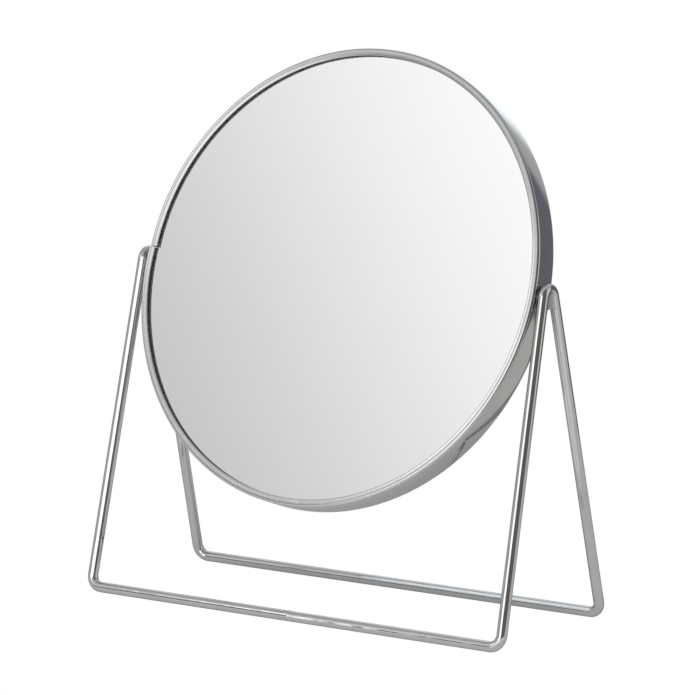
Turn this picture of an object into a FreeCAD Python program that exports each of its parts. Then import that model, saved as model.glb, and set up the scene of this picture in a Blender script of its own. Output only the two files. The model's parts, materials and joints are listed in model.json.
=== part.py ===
import FreeCAD, Part
import math
import os

from FreeCAD import Placement, Rotation, Vector

# Round two-sided table mirror: a rolled rim holding two panes, tilting on two studs that are
# brazed into the crooks of one closed loop of round wire.
#
# Frame: origin on the table, midway between the four feet. +X to the right as seen by a person
# in front of the mirror, +Y away from that person, +Z up. Millimetres and degrees.
# The rim and all that it holds are built upright about their own centre, with the pivot axis
# along X and the front towards -Y, and are then tilted and lifted into place.

# Driving dimensions
RIM_RADIUS = 88.2          # outside of the rim
RIM_DEPTH = 11.4           # front lip to rear lip, outside
SHEET = 0.6                # thickness of the rim's strip
LIP = 3.0                  # how far a lip reaches in over the glass
RIM_BEND = 1.0             # outside radius between band and lip
PIVOT_HEIGHT = 125.0       # pivot axis above the table
REST_TILT = 19.8           # top of the mirror leaning back
WIRE = 4.0                 # diameter of the stand's wire
PIVOT_HALF_WIDTH = 91.0    # wire centre line, from the middle, at pivot height
FOOT_HALF_WIDTH = 93.3     # the same at table height
FOOT_HALF_DEPTH = 34.9     # wire centre line of the front and rear bars
FOOT_BEND = 4.5            # centre line radius of the four foot bends
STUD = 3.0                 # diameter of the pivot studs
GLASS = 1.8                # thickness of both panes
MAGNIFIER_RADIUS = 1000.0  # radius of the rear pane's hollow face
BRAZE = 3.0                # thickness of the filler that closes each crook, across the wire
GAP = 0.05                 # between faces that touch

# Worked out from them
WIRE_RADIUS = WIRE / 2
STUD_RADIUS = STUD / 2
CROOK_BEND = STUD_RADIUS + GAP + WIRE_RADIUS
HALF_DEPTH = RIM_DEPTH / 2
LIP_RADIUS = RIM_RADIUS - LIP
WEB_RADIUS = RIM_RADIUS - SHEET
PANE_RADIUS = 86.3        # clear of the strip's turned-in end
PANE_FACE = HALF_DEPTH - SHEET - GAP

# The rim's strip is closed with a lap at the left pivot. Angles are round the rim's axis, from
# the right-hand side over the top.
LAP_ANGLE = 177.0          # where the outer end starts
END_ANGLE = 150.0          # where the inner end starts to turn in
END_TIGHTER = 6.4          # how much smaller that end's radius is
END_TURN = 28.9            # sweep of the full section of that end
TONGUE_TURN = 8.2          # sweep of its tongue, which has no lips
TONGUE_HALF_WIDTH = 4.6

# Pivot parts, as distances from the middle of the mirror along X
STUD_COVER = 0.6
STUD_OUTER = PIVOT_HALF_WIDTH + BRAZE / 2 - STUD_COVER
WIRE_CLEARANCE = 0.2
RIM_CLEARANCE = 0.1
FLANGE_OUTER = PIVOT_HALF_WIDTH - WIRE_RADIUS - WIRE_CLEARANCE
FLANGE_INNER = RIM_RADIUS + RIM_CLEARANCE
BARREL_INNER = 86.45
LINER_OUTER = 86.4
LINER_INNER = 86.0
SHANK_INNER = 85.95
WASHER_OUTER = 85.9
WASHER_INNER = 85.5
SPRING_OUTER = 85.45
SPRING_INNER = 84.8
NUT_OUTER = 84.75
NUT_COLLAR = 82.75
NUT_INNER = 81.75
STUD_INNER = 81.35
BARREL_RADIUS = 2.3
FLANGE_RADIUS = 3.3
WASHER_RADIUS = 3.0
THREAD_RADIUS = 1.25
NUT_ACROSS_FLATS = 5.0
NUT_COLLAR_RADIUS = 2.35

# Layers between the panes, as places along the rim's axis
PAD_FRONT = -PANE_FACE + GLASS + GAP
PAD_THICKNESS = 0.6
BOARD_THICKNESS = 2.0
BOARD_FRONT = PAD_FRONT + PAD_THICKNESS + GAP
BOARD_REAR = BOARD_FRONT + BOARD_THICKNESS
PAD_RADIUS = 80.0
BOARD_RADIUS = 85.5
BOARD_NOTCH_DEPTH = 6.5
BOARD_NOTCH_WIDTH = 9.0
SPACER_OUTER = 79.0
SPACER_INNER = 69.0

ORIGIN = Vector(0, 0, 0)
X_AXIS = Vector(1, 0, 0)
RIM_AXIS = Vector(0, -1, 0)


def bend(before, corner, after, radius):
    """Start, middle and end of the arc that rounds a corner between two runs."""
    to_before = (before - corner).normalize()
    to_after = (after - corner).normalize()
    half = to_before.getAngle(to_after) / 2
    run = radius / math.tan(half)
    inward = (to_before + to_after).normalize()
    centre = corner + inward * (radius / math.sin(half))
    return corner + to_before * run, centre - inward * radius, corner + to_after * run


def rounded_loop(corners):
    """Closed wire of straight runs through (point, radius) corners; radius 0 stays sharp."""
    bends = []
    for i, (corner, radius) in enumerate(corners):
        before = corners[i - 1][0]
        after = corners[(i + 1) % len(corners)][0]
        bends.append(bend(before, corner, after, radius) if radius else (corner,) * 3)
    edges = []
    for i, (start, middle, end) in enumerate(bends):
        if corners[i][1]:
            edges.append(Part.Arc(start, middle, end).toShape())
        edges.append(Part.LineSegment(end, bends[(i + 1) % len(bends)][0]).toShape())
    return Part.Wire(edges)


def ring(inner, outer, radius, bore, side):
    """Disc or ring round the pivot axis, between two distances out from the middle."""
    start = Vector(side * inner, 0, 0)
    disc = Part.makeCylinder(radius, outer - inner, start, X_AXIS * side)
    if bore:
        disc = disc.cut(Part.makeCylinder(bore, outer - inner, start, X_AXIS * side))
    return disc


def turned(points, axis_start, axis):
    """Solid made by turning an outline of (point, radius) corners once round an axis."""
    return Part.Face(rounded_loop(points)).revolve(axis_start, axis, 360)


def disc_outline(rows):
    """Corners of a section in the plane of the rim's axis, from (radius, depth) rows."""
    return [(Vector(r, y, 0), 0) for r, y in rows]


# Stand

def leg_slope():
    """How far a leg's centre line moves in y for each millimetre of height."""
    height = PIVOT_HEIGHT - WIRE_RADIUS
    to_pivot = math.atan(FOOT_HALF_DEPTH / height)
    beside_pivot = math.asin(CROOK_BEND / math.hypot(FOOT_HALF_DEPTH, height))
    return math.tan(to_pivot - beside_pivot)


def stand_route():
    """Centre line of the wire: two bars and four legs, with a crook at each side."""
    rise = FOOT_HALF_DEPTH / leg_slope()
    splay = (FOOT_HALF_WIDTH - PIVOT_HALF_WIDTH) / (PIVOT_HEIGHT - WIRE_RADIUS)
    crook_half_width = FOOT_HALF_WIDTH - splay * rise
    route = []
    for side in (1, -1):
        first_foot = Vector(side * FOOT_HALF_WIDTH, -side * FOOT_HALF_DEPTH, WIRE_RADIUS)
        second_foot = Vector(side * FOOT_HALF_WIDTH, side * FOOT_HALF_DEPTH, WIRE_RADIUS)
        crook = Vector(side * crook_half_width, 0, WIRE_RADIUS + rise)
        route.append((first_foot, FOOT_BEND))
        route.append((crook, CROOK_BEND))
        route.append((second_foot, FOOT_BEND))
    return rounded_loop(route)


def weld_bead():
    """Swelling where the wire's ends are butt welded, mid-way along the front bar, flat below."""
    height = 0.16
    reach = 1.1
    bite = 0.4
    inner = WIRE_RADIUS - bite
    y = -FOOT_HALF_DEPTH
    left = Vector(-reach, y, WIRE)
    top = Vector(0, y, WIRE + height)
    right = Vector(reach, y, WIRE)
    right_inner = Vector(reach, y, WIRE_RADIUS + inner)
    left_inner = Vector(-reach, y, WIRE_RADIUS + inner)
    outline = Part.Wire([
        Part.Arc(left, top, right).toShape(),
        Part.LineSegment(right, right_inner).toShape(),
        Part.LineSegment(right_inner, left_inner).toShape(),
        Part.LineSegment(left_inner, left).toShape(),
    ])
    bead = Part.Face(outline).revolve(Vector(0, y, WIRE_RADIUS), X_AXIS, 360)
    above_table = Part.makeBox(4 * reach, 2 * WIRE, 2 * WIRE, Vector(-2 * reach, y - WIRE, 0))
    return bead.common(above_table)


def braze(side):
    """Filler metal that closes the crook round a stud and below it."""
    depth = 4.6
    rise = 1.2
    clear_of_outside = 1.0
    slope = leg_slope()
    top_half = CROOK_BEND - clear_of_outside
    low_half = top_half + depth * slope
    x = side * PIVOT_HALF_WIDTH - BRAZE / 2
    low = PIVOT_HEIGHT - depth
    corners = [Vector(x, -top_half, PIVOT_HEIGHT), Vector(x, -low_half, low),
               Vector(x, low_half, low), Vector(x, top_half, PIVOT_HEIGHT)]
    outline = Part.Wire([
        Part.LineSegment(corners[0], corners[1]).toShape(),
        Part.Arc(corners[1], Vector(x, 0, low + rise), corners[2]).toShape(),
        Part.LineSegment(corners[2], corners[3]).toShape(),
        Part.Arc(corners[3], Vector(x, 0, PIVOT_HEIGHT + top_half), corners[0]).toShape(),
    ])
    return Part.Face(outline).extrude(X_AXIS * BRAZE)


def rod(route, radius):
    """Round rod along a route of straight runs and arcs."""
    runs = []
    for edge in route.Edges:
        start = edge.valueAt(edge.FirstParameter)
        direction = edge.tangentAt(edge.FirstParameter)
        disc = Part.Face(Part.Wire([Part.makeCircle(radius, start, direction)]))
        if isinstance(edge.Curve, Part.Circle):
            turn = math.degrees(edge.Length / edge.Curve.Radius)
            runs.append(disc.revolve(edge.Curve.Center, edge.Curve.Axis, turn))
        else:
            runs.append(disc.extrude(direction * edge.Length))
    return runs[0].fuse(runs[1:])


def stand_wire():
    """Closed loop of wire with its butt weld and the brazing that holds a stud in each crook."""
    loop = rod(stand_route(), WIRE_RADIUS)
    reach = STUD_OUTER + GAP
    stud_room = Part.makeCylinder(
        STUD_RADIUS + GAP, 2 * reach, Vector(-reach, 0, PIVOT_HEIGHT), X_AXIS
    )
    filled = loop.fuse([weld_bead(), braze(1), braze(-1)])
    return filled.cut(stud_room).removeSplitter()


def pivot_stud(side):
    """Stud with a plain shank through the bush and a thinner threaded end for the nut."""
    break_edge = 0.2
    chamfer = 0.3
    points = [
        (STUD_INNER, 0), (STUD_INNER, THREAD_RADIUS - chamfer),
        (STUD_INNER + chamfer, THREAD_RADIUS), (SHANK_INNER, THREAD_RADIUS),
        (SHANK_INNER, STUD_RADIUS), (STUD_OUTER - break_edge, STUD_RADIUS),
        (STUD_OUTER, STUD_RADIUS - break_edge), (STUD_OUTER, 0),
    ]
    outline = [(Vector(side * x, 0, r), 0) for x, r in points]
    return turned(outline, ORIGIN, X_AXIS)


def flat_washer(side):
    """Steel washer between the fibre liner and the disc spring."""
    return ring(WASHER_INNER, WASHER_OUTER, WASHER_RADIUS, THREAD_RADIUS + GAP, side)


def disc_spring(side):
    """Coned spring washer that keeps the pivot stiff."""
    thickness = 0.3
    slack = 0.1
    bore = THREAD_RADIUS + slack
    points = [
        (SPRING_OUTER, WASHER_RADIUS), (SPRING_OUTER - thickness, WASHER_RADIUS),
        (SPRING_INNER, bore), (SPRING_INNER + thickness, bore),
    ]
    outline = [(Vector(side * x, 0, r), 0) for x, r in points]
    return turned(outline, ORIGIN, X_AXIS)


def lock_nut(side):
    """Hexagon nut with a round locking collar."""
    crown_edge = 0.4
    thread_slack = 0.02
    corner = NUT_ACROSS_FLATS / math.sqrt(3)
    hexagon = Part.makePolygon([
        Vector(side * NUT_COLLAR, corner * math.cos(math.radians(60 * i)),
               corner * math.sin(math.radians(60 * i)))
        for i in range(7)
    ])
    length = NUT_OUTER - NUT_COLLAR
    body = Part.Face(hexagon).extrude(X_AXIS * (side * length))
    crown_radius = corner - crown_edge
    crown = Part.makeCone(
        crown_radius, crown_radius + length, length, Vector(side * NUT_COLLAR, 0, 0), X_AXIS * side
    )
    collar = ring(NUT_INNER, NUT_COLLAR + GAP, NUT_COLLAR_RADIUS, 0, side)
    bore = ring(NUT_INNER, NUT_OUTER, THREAD_RADIUS + thread_slack, 0, side)
    return body.common(crown).fuse(collar).cut(bore).removeSplitter()


# Mirror

def rim_section(angle):
    """Channel section of the rim, standing at an angle round its axis."""
    lip_edge = 0.2
    inner_bend = RIM_BEND - SHEET
    inner_depth = HALF_DEPTH - SHEET
    corners = [
        (Vector(LIP_RADIUS, -HALF_DEPTH, 0), lip_edge),
        (Vector(RIM_RADIUS, -HALF_DEPTH, 0), RIM_BEND),
        (Vector(RIM_RADIUS, HALF_DEPTH, 0), RIM_BEND),
        (Vector(LIP_RADIUS, HALF_DEPTH, 0), lip_edge),
        (Vector(LIP_RADIUS, inner_depth, 0), 0),
        (Vector(WEB_RADIUS, inner_depth, 0), inner_bend),
        (Vector(WEB_RADIUS, -inner_depth, 0), inner_bend),
        (Vector(LIP_RADIUS, -inner_depth, 0), 0),
    ]
    face = Part.Face(rounded_loop(corners))
    face.rotate(ORIGIN, RIM_AXIS, angle)
    return face


def tongue_section(angle):
    """The strip's flat web alone, standing at an angle round the rim's axis."""
    face = Part.makePlane(
        SHEET, 2 * TONGUE_HALF_WIDTH, Vector(WEB_RADIUS, -TONGUE_HALF_WIDTH, 0), Vector(0, 0, 1)
    )
    face.rotate(ORIGIN, RIM_AXIS, angle)
    return face


def pivot_hole():
    """Cutter for the bush's hole, right through both sides of the rim."""
    beyond = 5.0
    reach = RIM_RADIUS + beyond
    return Part.makeCylinder(BARREL_RADIUS + GAP, 2 * reach, Vector(-reach, 0, 0), X_AXIS)


def rim():
    """Rolled channel whose inner end turns in and laps under its outer end at the left pivot."""
    full_turn = 360 - LAP_ANGLE + END_ANGLE
    band = rim_section(LAP_ANGLE).revolve(ORIGIN, RIM_AXIS, full_turn)
    shift = Vector(math.cos(math.radians(END_ANGLE)), 0, math.sin(math.radians(END_ANGLE)))
    centre = shift * END_TIGHTER
    end = rim_section(END_ANGLE).revolve(centre, RIM_AXIS, END_TURN)
    root = tongue_section(END_ANGLE)
    root.rotate(centre, RIM_AXIS, END_TURN)
    tongue = root.revolve(centre, RIM_AXIS, TONGUE_TURN)
    return band.fuse([end, tongue]).cut(pivot_hole()).removeSplitter()


def rim_doubler():
    """Curved plate that thickens the rim at the right pivot, where the strip has no lap."""
    thickness = 0.8
    clearance = 0.1
    half_width = 4.6
    half_turn = 6.0
    inner = WEB_RADIUS - clearance - thickness
    face = Part.makePlane(
        thickness, 2 * half_width, Vector(inner, -half_width, 0), Vector(0, 0, 1)
    )
    face.rotate(ORIGIN, RIM_AXIS, -half_turn)
    return face.revolve(ORIGIN, RIM_AXIS, 2 * half_turn).cut(pivot_hole())


def pivot_bush(side):
    """Flanged nylon bush that spaces the rim from the wire and lines its hole."""
    bore = STUD_RADIUS + GAP
    flange = ring(FLANGE_INNER, FLANGE_OUTER, FLANGE_RADIUS, bore, side)
    barrel = ring(BARREL_INNER, FLANGE_INNER, BARREL_RADIUS, bore, side)
    return flange.fuse(barrel).removeSplitter()


def friction_liner(side):
    """Fibre washer against the inside of the rim."""
    slack = 0.08
    return ring(LINER_INNER, LINER_OUTER, WASHER_RADIUS, STUD_RADIUS + slack, side)


def front_glass():
    """Plain pane with a ground edge."""
    edge = 0.3
    rows = [
        (0, -PANE_FACE), (PANE_RADIUS - edge, -PANE_FACE), (PANE_RADIUS, -PANE_FACE + edge),
        (PANE_RADIUS, -PANE_FACE + GLASS - edge), (PANE_RADIUS - edge, -PANE_FACE + GLASS),
        (0, -PANE_FACE + GLASS),
    ]
    return turned(disc_outline(rows), ORIGIN, RIM_AXIS)


def hollow(radius):
    """How far the magnifying face lies in front of its own centre at a radius."""
    return MAGNIFIER_RADIUS - math.sqrt(MAGNIFIER_RADIUS ** 2 - radius ** 2)


def dished_edge(inner, outer, offset):
    """Arc of the magnifying pane's section between two radii, a distance ahead of its face."""
    centre_depth = PANE_FACE - hollow(PANE_RADIUS) - offset
    points = [
        Vector(r, centre_depth + hollow(r), 0) for r in (inner, (inner + outer) / 2, outer)
    ]
    return Part.Arc(*points).toShape(), points[0], points[2]


def dished_solid(inner, outer, rear_offset, front):
    """Turned solid between a dished rear face and a front edge or face."""
    rear_arc, rear_in, rear_out = dished_edge(inner, outer, rear_offset)
    if front is None:
        front_arc, front_in, front_out = dished_edge(inner, outer, rear_offset + GLASS)
    else:
        front_in = Vector(inner, front, 0)
        front_out = Vector(outer, front, 0)
        front_arc = Part.LineSegment(front_in, front_out).toShape()
    outline = Part.Wire(Part.__sortEdges__([
        rear_arc, Part.LineSegment(rear_out, front_out).toShape(), front_arc,
        Part.LineSegment(front_in, rear_in).toShape(),
    ]))
    return Part.Face(outline).revolve(ORIGIN, RIM_AXIS, 360)


def rear_glass():
    """Magnifying pane, bent to a shallow hollow."""
    return dished_solid(0, PANE_RADIUS, 0, None)


def spacer_ring():
    """Felt ring that holds the magnifying pane against the rear lip."""
    return dished_solid(SPACER_INNER, SPACER_OUTER, GLASS + GAP, BOARD_REAR + GAP)


def front_pad():
    """Thin felt disc behind the plain pane."""
    return Part.makeCylinder(PAD_RADIUS, PAD_THICKNESS, Vector(0, PAD_FRONT, 0), Vector(0, 1, 0))


def core_board():
    """Board between the panes, notched at both sides for the pivot hardware."""
    beyond = 2.0
    length = BOARD_NOTCH_DEPTH + beyond
    board = Part.makeCylinder(
        BOARD_RADIUS, BOARD_THICKNESS, Vector(0, BOARD_FRONT, 0), Vector(0, 1, 0)
    )
    for side in (1, -1):
        middle = side * (BOARD_RADIUS - BOARD_NOTCH_DEPTH + length / 2)
        corner = Vector(middle - length / 2, BOARD_FRONT, -BOARD_NOTCH_WIDTH / 2)
        board = board.cut(Part.makeBox(length, BOARD_THICKNESS, BOARD_NOTCH_WIDTH, corner))
    return board


def tilted(shape):
    """A piece of the mirror, leaned back about the pivot axis and lifted to its height."""
    shape.Placement = Placement(
        Vector(0, 0, PIVOT_HEIGHT), Rotation(X_AXIS, -REST_TILT)
    ).multiply(shape.Placement)
    return shape


def lifted(shape):
    """A piece that stays with the stand, lifted to the pivot axis."""
    shape.translate(Vector(0, 0, PIVOT_HEIGHT))
    return shape


def pieces():
    """Every piece of the mirror under its own name."""
    named = {
        "stand_wire": stand_wire(),
        "rim": tilted(rim()),
        "rim_doubler": tilted(rim_doubler()),
        "front_glass": tilted(front_glass()),
        "rear_glass": tilted(rear_glass()),
        "front_pad": tilted(front_pad()),
        "core_board": tilted(core_board()),
        "spacer_ring": tilted(spacer_ring()),
    }
    for name, side in (("right", 1), ("left", -1)):
        named["pivot_stud_" + name] = lifted(pivot_stud(side))
        named["flat_washer_" + name] = lifted(flat_washer(side))
        named["disc_spring_" + name] = lifted(disc_spring(side))
        named["lock_nut_" + name] = lifted(lock_nut(side))
        named["pivot_bush_" + name] = tilted(pivot_bush(side))
        named["friction_liner_" + name] = tilted(friction_liner(side))
    return named


os.makedirs("parts", exist_ok=True)
for name, shape in pieces().items():
    shape.exportStep("parts/" + name + ".step")
    box = shape.BoundBox
    print(f"{name}: {len(shape.Solids)} solid, valid {shape.isValid()}, {shape.Volume:.1f} mm3,"
          f" x {box.XMin:.2f} {box.XMax:.2f} y {box.YMin:.2f} {box.YMax:.2f}"
          f" z {box.ZMin:.2f} {box.ZMax:.2f}")
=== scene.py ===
"""Looks of a round two-sided table mirror that tilts on a stand of bent chromed wire.

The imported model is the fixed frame. Each visible piece is rebuilt here as a smooth mesh in the same
place and riding on the same body, and every piece that stays as packed gets its own finish.
Lengths are metres, angles are degrees unless a name says otherwise, and the mirror's own parts are
made upright about their centre, facing -Y, before they are leaned back and lifted onto the pivots.
"""

import json
import logging
import math
from collections.abc import Callable, Iterable, Sequence
from dataclasses import dataclass, field
from enum import Enum

import bmesh
import bpy
from mathutils import Matrix, Quaternion, Vector

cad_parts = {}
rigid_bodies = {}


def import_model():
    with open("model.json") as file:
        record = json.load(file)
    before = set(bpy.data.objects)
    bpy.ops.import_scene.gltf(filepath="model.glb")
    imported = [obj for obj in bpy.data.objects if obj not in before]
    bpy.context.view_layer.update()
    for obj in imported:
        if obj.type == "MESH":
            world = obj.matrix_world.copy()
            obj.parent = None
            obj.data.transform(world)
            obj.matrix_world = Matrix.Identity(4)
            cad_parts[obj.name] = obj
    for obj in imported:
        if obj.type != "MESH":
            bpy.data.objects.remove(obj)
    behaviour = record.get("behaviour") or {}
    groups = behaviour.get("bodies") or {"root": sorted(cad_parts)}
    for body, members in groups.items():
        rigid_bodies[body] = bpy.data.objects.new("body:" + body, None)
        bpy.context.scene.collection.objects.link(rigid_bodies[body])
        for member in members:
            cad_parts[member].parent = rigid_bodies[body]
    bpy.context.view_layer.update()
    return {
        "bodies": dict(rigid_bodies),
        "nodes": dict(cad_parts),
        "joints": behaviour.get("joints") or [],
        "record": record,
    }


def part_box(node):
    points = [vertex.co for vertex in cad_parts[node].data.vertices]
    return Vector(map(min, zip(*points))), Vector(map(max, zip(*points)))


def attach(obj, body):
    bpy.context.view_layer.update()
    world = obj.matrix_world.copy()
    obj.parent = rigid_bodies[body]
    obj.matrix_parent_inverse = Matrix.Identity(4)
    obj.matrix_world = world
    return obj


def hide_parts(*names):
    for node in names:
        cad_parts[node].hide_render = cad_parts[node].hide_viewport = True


MM = 0.001
WELD_DISTANCE = 1e-6
SMOOTH_ANGLE = math.radians(38)
X_AXIS = Vector((1, 0, 0))
Y_AXIS = Vector((0, 1, 0))
Z_AXIS = Vector((0, 0, 1))
RIM_AXIS = -Y_AXIS

# How every finish wanders between its two colours
CLOUD_TO_GRAIN = 8
CLOUD_SHARE = 0.6
BLEND_START = 0.35
BLEND_FULL = 0.65

log = logging.getLogger("table_mirror")

Colour = tuple[float, float, float]


class Body(Enum):
    """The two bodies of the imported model."""

    STAND = "stand"
    MIRROR = "mirror"


class Side(Enum):
    """Which pivot a part belongs to, with its direction along X."""

    LEFT = -1
    RIGHT = 1

    @property
    def word(self) -> str:
        """The side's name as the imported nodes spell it."""
        return self.name.lower()


class Slot(Enum):
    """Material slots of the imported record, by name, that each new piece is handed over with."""

    STAND = "stand_chrome"
    RIM = "rim_chrome"
    PLAIN = "plain_mirror"
    MAGNIFYING = "magnifying_mirror"
    PLATED = "plated_steel"
    NYLON = "nylon"


# Shader building


class Term:
    """A number inside a shader, so that plain expressions add Math nodes."""

    def __init__(self, graph: "Graph", socket: bpy.types.NodeSocket) -> None:
        """Wraps an output socket of a graph."""
        self.graph = graph
        self.socket = socket

    def math(self, operation: str, *others: "Term | float") -> "Term":
        """Applies a Math operation to this term and the others.

        Args:
            operation: the Math node's operation.
            others: further inputs, in order.

        Returns:
            The result as a term.
        """
        values = dict(enumerate((self, *others)))
        node = self.graph.node("ShaderNodeMath", {"operation": operation}, values)
        return Term(self.graph, node.outputs[0])

    def __add__(self, other: "Term | float") -> "Term":
        """This term plus another."""
        return self.math("ADD", other)

    def __sub__(self, other: "Term | float") -> "Term":
        """This term less another."""
        return self.math("SUBTRACT", other)

    def __rsub__(self, other: float) -> "Term":
        """A number less this term."""
        return self.math("MULTIPLY", -1.0) + other

    def __mul__(self, other: "Term | float") -> "Term":
        """This term times another."""
        return self.math("MULTIPLY", other)

    def __truediv__(self, other: "Term | float") -> "Term":
        """This term divided by another."""
        return self.math("DIVIDE", other)

    def __pow__(self, exponent: float) -> "Term":
        """This term raised to a power."""
        return self.math("POWER", exponent)

    def __abs__(self) -> "Term":
        """The term without its sign."""
        return self.math("ABSOLUTE")

    def smooth_step(self, low: float, high: float) -> "Term":
        """Rises smoothly from 0 at one value to 1 at another.

        Args:
            low: value that gives 0.
            high: value that gives 1; it may be below the first.

        Returns:
            The eased share, from 0 to 1.
        """
        settings = {"interpolation_type": "SMOOTHSTEP"}
        sockets = {"Value": self, "From Min": low, "From Max": high}
        node = self.graph.node("ShaderNodeMapRange", settings, sockets)
        return Term(self.graph, node.outputs["Result"])


class Graph:
    """A node tree with one method that adds any node."""

    def __init__(self, tree: bpy.types.NodeTree) -> None:
        """Clears a tree and takes it over."""
        self.tree = tree
        tree.nodes.clear()

    def feed(self, socket: bpy.types.NodeSocket, value: object) -> None:
        """Gives a socket a link or a constant.

        Args:
            socket: input socket.
            value: a term, an output socket, a number or a sequence of numbers.
        """
        if isinstance(value, Term):
            value = value.socket
        if isinstance(value, bpy.types.NodeSocket):
            self.tree.links.new(value, socket)
        else:
            socket.default_value = value

    def node(
        self, kind: str, settings: dict[str, object] | None = None,
        sockets: dict[str | int, object] | None = None,
    ) -> bpy.types.Node:
        """Adds a node, sets it up and fills its sockets.

        Args:
            kind: node type.
            settings: node properties, set first.
            sockets: values or links by input name or number.

        Returns:
            The node.
        """
        made = self.tree.nodes.new(kind)
        for name, value in (settings or {}).items():
            setattr(made, name, value)
        for name, value in (sockets or {}).items():
            self.feed(made.inputs[name], value)
        return made

    def axes(self, vector: bpy.types.NodeSocket) -> tuple[Term, Term, Term]:
        """Splits a vector into its three numbers."""
        node = self.node("ShaderNodeSeparateXYZ", None, {"Vector": vector})
        return tuple(Term(self, output) for output in node.outputs)

    def place(self, centre: Sequence[float] = (0, 0, 0), lean: float = 0.0) -> bpy.types.NodeSocket:
        """Object coordinates, measured from a centre and turned back by a lean about X.

        Args:
            centre: point that becomes the origin.
            lean: radians that the piece leans about X.

        Returns:
            The coordinate output.
        """
        source = self.node("ShaderNodeTexCoord").outputs["Object"]
        sockets = {"Vector": source, "Location": tuple(centre), "Rotation": (lean, 0, 0)}
        return self.node("ShaderNodeMapping", {"vector_type": "TEXTURE"}, sockets).outputs[0]

    def noise(self, vector: object, scale: float, detail: float = 2.0) -> Term:
        """Even noise about 0.5.

        Args:
            vector: coordinates.
            scale: repeats per metre.
            detail: octaves.

        Returns:
            The noise as a term.
        """
        sockets = {"Vector": vector, "Scale": scale, "Detail": detail}
        return Term(self, self.node("ShaderNodeTexNoise", None, sockets).outputs["Fac"])

    def blend(self, share: object, first: object, second: object) -> bpy.types.NodeSocket:
        """Mixes two colours by a share.

        Args:
            share: 0 for the first colour, 1 for the second.
            first: first colour, as three numbers or an output socket.
            second: second colour, likewise.

        Returns:
            The mixed colour's output.
        """
        sockets = {0: share, 6: opaque(first), 7: opaque(second)}
        return self.node("ShaderNodeMix", {"data_type": "RGBA"}, sockets).outputs[2]


def opaque(colour: object) -> object:
    """Adds full alpha to a constant colour and leaves a socket alone."""
    return (*colour, 1.0) if isinstance(colour, tuple) else colour


@dataclass(frozen=True)
class Finish:
    """What every finish has: a name and two colours that it wanders between."""

    name: str
    colour: Colour
    second_colour: Colour
    roughness: float
    roughness_spread: float
    grain_per_metre: float
    bump_height: float

    def surface(self, graph: Graph, place: bpy.types.NodeSocket) -> tuple[object, Term, Term]:
        """Colour, roughness and height over the surface.

        Args:
            graph: the material's graph.
            place: coordinates to read.

        Returns:
            Colour socket, roughness term and height term.
        """
        cloud = graph.noise(place, self.grain_per_metre / CLOUD_TO_GRAIN, 3.0)
        grain = graph.noise(place, self.grain_per_metre, 4.0)
        mixed = cloud * CLOUD_SHARE + grain * (1 - CLOUD_SHARE)
        share = mixed.smooth_step(BLEND_START, BLEND_FULL)
        colour = graph.blend(share, self.colour, self.second_colour)
        roughness = (cloud * 0.5 + grain * 0.5 - 0.5) * (2 * self.roughness_spread) + self.roughness
        return colour, roughness, grain

    def shader_settings(self) -> dict[str, object]:
        """Constant sockets of the shader."""
        return {}

    def material(self, centre: Sequence[float] = (0, 0, 0), lean: float = 0.0) -> bpy.types.Material:
        """Makes the material.

        Args:
            centre: point that the pattern is centred on.
            lean: radians that the pattern leans about X.

        Returns:
            The new material.
        """
        made = bpy.data.materials.new(self.name)
        made.use_nodes = True
        graph = Graph(made.node_tree)
        place = graph.place(centre, lean)
        colour, roughness, height = self.surface(graph, place)
        bump = graph.node(
            "ShaderNodeBump", None, {"Height": height, "Strength": 1.0, "Distance": self.bump_height}
        )
        sockets = {"Base Color": colour, "Roughness": roughness, "Normal": bump.outputs[0]}
        shader = graph.node("ShaderNodeBsdfPrincipled", None, sockets | self.shader_settings())
        graph.node("ShaderNodeOutputMaterial", None, {"Surface": shader.outputs[0]})
        return made


@dataclass(frozen=True)
class Metal(Finish):
    """Polished, plated or bare metal, as flat or as rippled as its making left it."""

    ripple: float = 0.0
    ripple_per_metre: float = 110.0
    edge_tint: Colour = (1.0, 1.0, 1.0)

    def surface(self, graph: Graph, place: bpy.types.NodeSocket) -> tuple[object, Term, Term]:
        """Adds a slow ripple to the height.

        Args:
            graph: the material's graph.
            place: coordinates to read.

        Returns:
            Colour socket, roughness term and height term.
        """
        colour, roughness, grain = super().surface(graph, place)
        ripple = graph.noise(place, self.ripple_per_metre, 1.0) * self.ripple
        return colour, roughness, grain + ripple

    def shader_settings(self) -> dict[str, object]:
        """Constant sockets of a metal, with the tint that it takes on at its edges."""
        return {"Metallic": 1.0, "Specular Tint": opaque(self.edge_tint)}


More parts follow.
